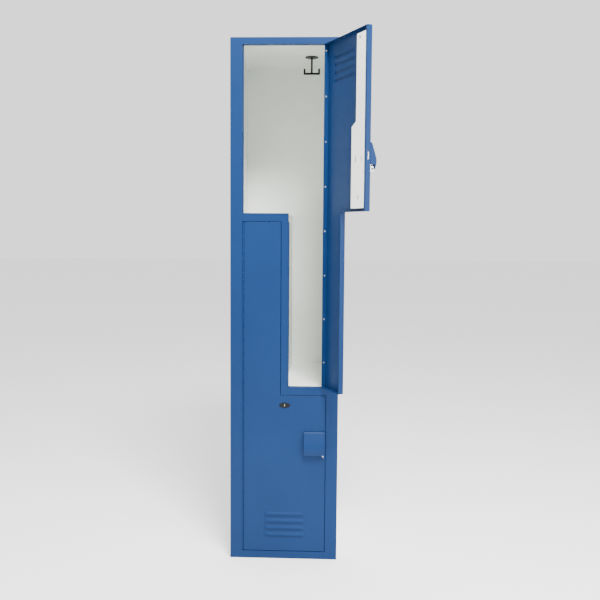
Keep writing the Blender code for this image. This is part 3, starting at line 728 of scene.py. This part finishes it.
for prefix, numeral in (("upper", "2"), ("lower", "1")):
    door = doors[prefix]
    place = at(door, (HINGE_EDGE + FREE_EDGE) / 2, -PLATE_GAP, door["shoulder"] - door["run"] * PLATE_DROP)
    stand = facing(place, (0, -1, 0), (0, 0, 1))
    plate = turned("plate", [(0, 0), (1.0, 0), (1.0, 0.6), (0.97, 1.0), (0.91, 1.0),
                             (0.88, PLATE_FIELD), (0, PLATE_FIELD)], PLATE_SIDES)
    plate.transform(Matrix.Diagonal((PLATE_HALF[0], PLATE_HALF[1], PLATE_SHEET, 1.0)))
    plate.transform(door["opened"] @ stand)
    finish_piece(prefix + "_plate", plate, 0.0, black_coat, prefix + "_door",
                 [prefix + "_number_plate"])
    text = bpy.data.curves.new("numeral", "FONT")
    text.body = numeral
    text.size = NUMERAL_SIZE
    text.extrude = NUMERAL_DEPTH
    text.align_x = "CENTER"
    text.align_y = "CENTER"
    holder = placed("numeral", text)
    bpy.context.view_layer.update()
    figure = worked_out(holder)
    bpy.data.objects.remove(holder)
    figure.transform(door["opened"] @ stand
                     @ Matrix.Translation((0, 0, PLATE_SHEET * PLATE_FIELD + NUMERAL_LIFT)))
    finish_piece(prefix + "_plate_figure", merged(figure), 0.0, numeral_ink,
                 prefix + "_door", [])
    studs = dome(*STUD)
    studs.transform(Matrix.Translation((-STUD_REACH, 0, PLATE_SHEET * STUD_SEAT)))
    studs = row_of(studs, 2, (2 * STUD_REACH, 0.0, 0.0), black_coat)
    studs.transform(door["opened"] @ stand)
    finish_piece(prefix + "_plate_rivets", studs, 0.0, black_coat, prefix + "_door", [])

# Continuous hinges --------------------------------------------------------------------
# Two long leaves whose edges are rolled into alternate knuckles round one steel pin. One leaf is
# riveted to the jamb and one to the door's folded edge; both are sprayed with the door.
BARREL = 0.0024
BORE = 0.00135
LEAF_FACES = (0.0027, 0.0017)
LEAF_DEPTH = 0.016
LEAF_BEND = 0.0018
LEAF_CLEAR = 0.0004
HINGE_END = 0.0012
KNUCKLE_PITCH = 0.0254
KNUCKLE_GAP = 0.0004
HINGE_RIVET_PITCH = 0.1524
HINGE_RIVET_END = 0.0225
HINGE_RIVETS = 8
HINGE_RIVET = (0.0028, 0.0014)
HINGE_RIVET_DEPTH = 0.010
HINGE_RIVET_SINK = 0.00002


def leaf_section(side):
    """Outline of a leaf and its rolled knuckle, seen along the pin, as (s, d)."""
    outer = [(LEAF_FACES[0], LEAF_DEPTH), (LEAF_FACES[0], LEAF_BEND)]
    inner = [(LEAF_FACES[1], LEAF_BEND), (LEAF_FACES[1], LEAF_DEPTH)]
    curl = [math.radians(angle) for angle in range(0, -251, -10)]
    outer += [(BARREL * math.cos(turn), BARREL * math.sin(turn)) for turn in curl]
    back = [(BORE * math.cos(turn), BORE * math.sin(turn)) for turn in reversed(curl)]
    return [(side * s, d) for s, d in outer + back + inner]


for prefix, door in doors.items():
    ends = sorted((door["end"] + door["run"] * HINGE_END, door["tip"] - door["run"] * HINGE_END))
    pairs = int((ends[1] - ends[0]) / (2 * KNUCKLE_PITCH))
    pitch = (ends[1] - ends[0]) / (2 * pairs + 1)
    for part, side, first, count, body in (("frame", -1, 0, pairs + 1, "cabinet"),
                                           ("door", 1, 1, pairs, prefix + "_door")):
        low = ends[0] + first * pitch + KNUCKLE_GAP / 2
        knuckle = skinned("knuckle", [[at(door, s, d, z) for s, d in leaf_section(side)]
                                      for z in (low, low + pitch - KNUCKLE_GAP)])
        knuckles = row_of(knuckle, count, (0.0, 0.0, 2 * pitch), blue_enamel)
        strip = boxed(door, (side * LEAF_FACES[1], BARREL + LEAF_CLEAR, ends[0]),
                      (side * LEAF_FACES[0], LEAF_DEPTH, ends[1]))
        leaf = carved(strip, [knuckles], [])
        if body != "cabinet":
            leaf.transform(door["opened"])
        finish_piece(prefix + "_hinge_" + part + "_strip", leaf, 0.0, blue_enamel, body,
                     [prefix + "_hinge_" + part + "_leaf"])
    folded(prefix + "_hinge_pin_wire", prefix + "_hinge_pin", PLATE_EDGE, zinc)
    rivet_run = (HINGE_RIVETS - 1) * HINGE_RIVET_PITCH
    lowest = min(door["end"] + door["run"] * HINGE_RIVET_END,
                 door["end"] + door["run"] * (HINGE_RIVET_END + rivet_run))
    rivets = dome(*HINGE_RIVET)
    rivets.transform(facing(at(door, HINGE_EDGE + DOOR_SHEET - HINGE_RIVET_SINK, HINGE_RIVET_DEPTH, lowest),
                            (-door["side"], 0, 0), (0, 0, 1)))
    rivets = row_of(rivets, HINGE_RIVETS, (0.0, 0.0, HINGE_RIVET_PITCH), zinc)
    rivets.transform(door["opened"])
    finish_piece(prefix + "_hinge_rivets", rivets, 0.0, zinc, prefix + "_door", [])

# Coat hooks ---------------------------------------------------------------------------
# Black double-pronged steel hooks on a round foot, each held under its ceiling by one rivet
# whose head shows on top of the sheet.
HOOK_EDGE = 0.0011
HOOK_RIVET_EDGE = 0.0005

for prefix in doors:
    folded(prefix + "_coat_hook_forging", prefix + "_coat_hook", HOOK_EDGE, black_coat, 3)
    folded(prefix + "_hook_rivet_head", prefix + "_hook_rivet", HOOK_RIVET_EDGE, zinc, 3)

# Body rivets --------------------------------------------------------------------------
# Blind rivets through the folded edges of the back sheet, enamelled with the body.
BODY_RIVETS = 7
BODY_RIVET = (0.0031, 0.0011)
BODY_RIVET_INSET = 0.006
BODY_RIVET_END = 0.06

sheet_low, sheet_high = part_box("back_panel")
rivet_step = (sheet_high.z - sheet_low.z - 2 * BODY_RIVET_END) / (BODY_RIVETS - 1)
for name, x, outwards in (("left", sheet_low.x, -1), ("right", sheet_high.x, 1)):
    heads = dome(*BODY_RIVET)
    heads.transform(facing(Vector((x, sheet_high.y - BODY_RIVET_INSET, sheet_low.z + BODY_RIVET_END)),
                           (outwards, 0, 0), (0, 0, 1)))
    heads = row_of(heads, BODY_RIVETS, (0.0, 0.0, rivet_step), white_enamel)
    finish_piece("back_rivets_" + name, heads, 0.0, white_enamel, "cabinet", [])
